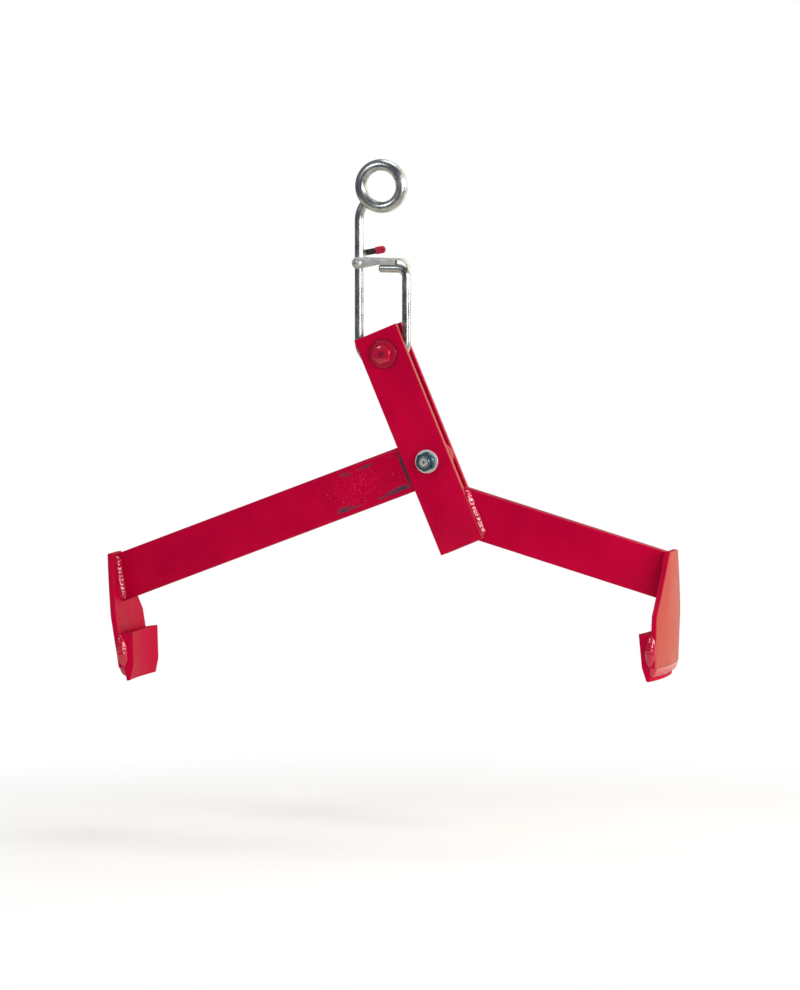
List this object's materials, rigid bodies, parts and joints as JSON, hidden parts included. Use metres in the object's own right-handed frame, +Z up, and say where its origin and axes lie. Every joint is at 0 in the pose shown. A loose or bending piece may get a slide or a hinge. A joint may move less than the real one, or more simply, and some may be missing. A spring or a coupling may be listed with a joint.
{
  "type": "drum lifter",
  "caption": "Tong lifter for an upright steel drum: a leaning twin-plate lever, a fixed and a pivoting arm with curved lipped jaws, hung on a bent-bar hook with a keeper.",
  "frame": {"origin": "centre of the hook's eye", "axes": "+X from the left jaw to the right jaw, +Y through the eye and along both bolts towards the rear plate, +Z up"},
  "size_m": [0.6334, 0.1044, 0.5689],
  "materials": {
    "red_paint": "gloss red enamel with worn edges",
    "zinc_plate": "bright zinc plate",
    "nylon_ring": "dark teal nylon",
    "red_vinyl": "dipped red vinyl"
  },
  "bodies": {
    "hook": {"hook_body": "zinc_plate", "keeper_rivet": "zinc_plate"},
    "keeper": {"hook_keeper": "zinc_plate", "keeper_thumb_cap": "red_vinyl"},
    "lever": {"lever_front_plate": "red_paint", "lever_rear_plate": "red_paint", "right_arm": "red_paint", "right_jaw_plate": "red_paint", "right_jaw_lip": "red_paint", "lever_weld_beads": "red_paint", "right_jaw_weld_beads": "red_paint", "pivot_bolt": "zinc_plate", "pivot_washers": "zinc_plate", "pivot_nut": "zinc_plate", "pivot_nut_insert": "nylon_ring", "top_bolt": "red_paint", "top_bolt_washers": "red_paint", "top_bolt_nut": "red_paint", "top_bolt_sleeve": "zinc_plate"},
    "left_tong": {"left_arm": "red_paint", "left_jaw_plate": "red_paint", "left_jaw_lip": "red_paint", "left_jaw_weld_beads": "red_paint"}
  },
  "joints": [
    {"name": "lever_swing", "type": "hinge", "parent": "hook", "child": "lever", "pos_m": [0.00598, 0, -0.18029], "axis": [0, 1, 0], "range_deg": [-45, 45]},
    {"name": "left_arm_pivot", "type": "hinge", "parent": "lever", "child": "left_tong", "pos_m": [0.05482, 0, -0.29535], "axis": [0, 1, 0], "range_deg": [-40, 30]},
    {"name": "keeper_flip", "type": "hinge", "parent": "hook", "child": "keeper", "pos_m": [-0.02482, 0, -0.083], "axis": [0, 1, 0], "range_deg": [-35, 0]}
  ]
}
